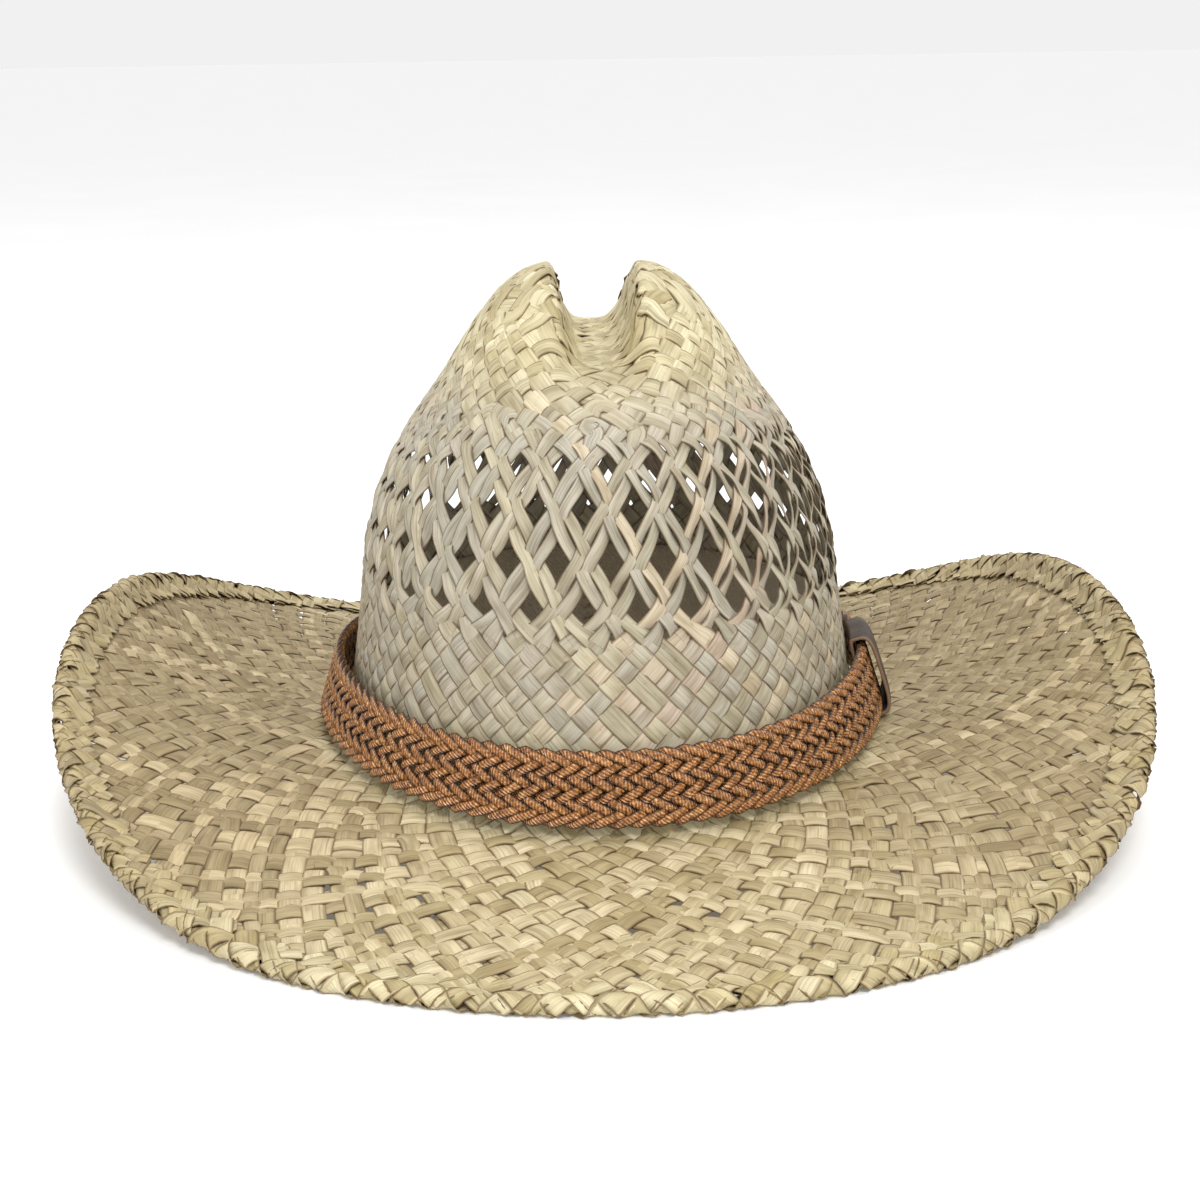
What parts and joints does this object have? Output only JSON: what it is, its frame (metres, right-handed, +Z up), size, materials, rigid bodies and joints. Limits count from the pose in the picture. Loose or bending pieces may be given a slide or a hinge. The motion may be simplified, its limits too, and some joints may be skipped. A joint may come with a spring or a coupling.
{
  "type": "cowboy hat",
  "caption": "Woven straw western hat with a creased crown, openwork vents, curled brim, braided hat band, leather keeper and sweatband.",
  "frame": {"origin": "on the surface that the brim rests on, under the middle of the hat", "axes": "+Z up, the front of the hat faces -Y, +X is to the right of someone facing the front"},
  "size_m": [0.3084, 0.3656, 0.1508],
  "materials": {
    "straw_crown": "satin",
    "straw_brim": "satin",
    "wire": "satin",
    "thread": "matte",
    "sweatband": "matte",
    "braid": "satin",
    "keeper": "satin"
  },
  "bodies": {
    "hat": {"crown_tip": "straw_crown", "crown_openwork": "straw_crown", "crown_wall": "straw_crown", "brim": "straw_brim", "brim_hem": "straw_brim", "brim_wire": "wire", "hem_stitches": "thread", "sweatband": "sweatband", "sweatband_stitches": "thread", "sweatband_join_stitches": "thread"},
    "band": {"hat_band": "braid"},
    "keeper": {"band_keeper": "keeper"}
  },
  "joints": [
    {"name": "band_lift", "type": "slide", "parent": "hat", "child": "band", "axis": [0, 0, 1], "range_m": [0, 0.14]},
    {"name": "keeper_slide", "type": "hinge", "parent": "band", "child": "keeper", "pos_m": [-0.0465, 0, 0.03], "axis": [0, 0, 1], "range_deg": [-4.5, 4.5]}
  ]
}
